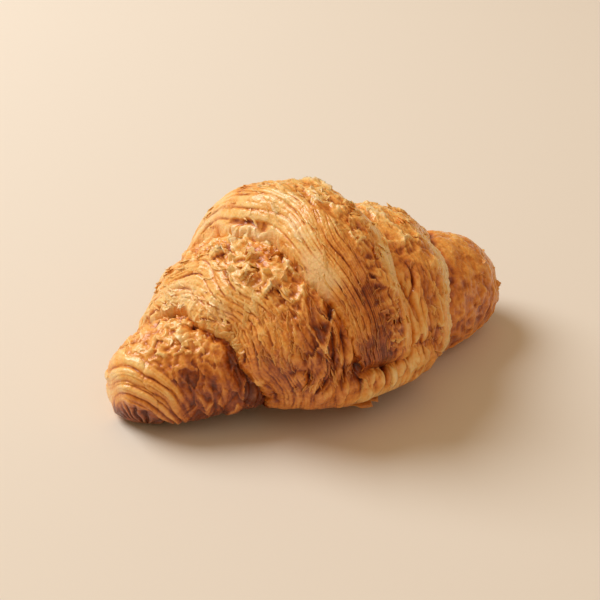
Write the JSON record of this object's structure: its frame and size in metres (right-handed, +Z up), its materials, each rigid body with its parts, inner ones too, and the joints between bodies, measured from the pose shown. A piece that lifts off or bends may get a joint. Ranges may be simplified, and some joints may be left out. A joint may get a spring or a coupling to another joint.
{
  "type": "croissant",
  "caption": "Baked butter croissant: a rolled spindle of laminated dough with a lobe at each end, stepped wraps and a centre band that ends in a blunt tab.",
  "frame": {"origin": "centre of the bounding box at the plane that the croissant rests on", "axes": "+X along the roll from the end that is bent back the more to the other end, +Z up, -Y to the front where the centre band's tab comes down"},
  "size_m": [0.147, 0.089, 0.0725],
  "materials": {
    "crust": "golden brown egg-washed crust, uneven, with paler layer edges and darker tips"
  },
  "bodies": {
    "root": {"croissant": "crust"}
  },
  "joints": []
}
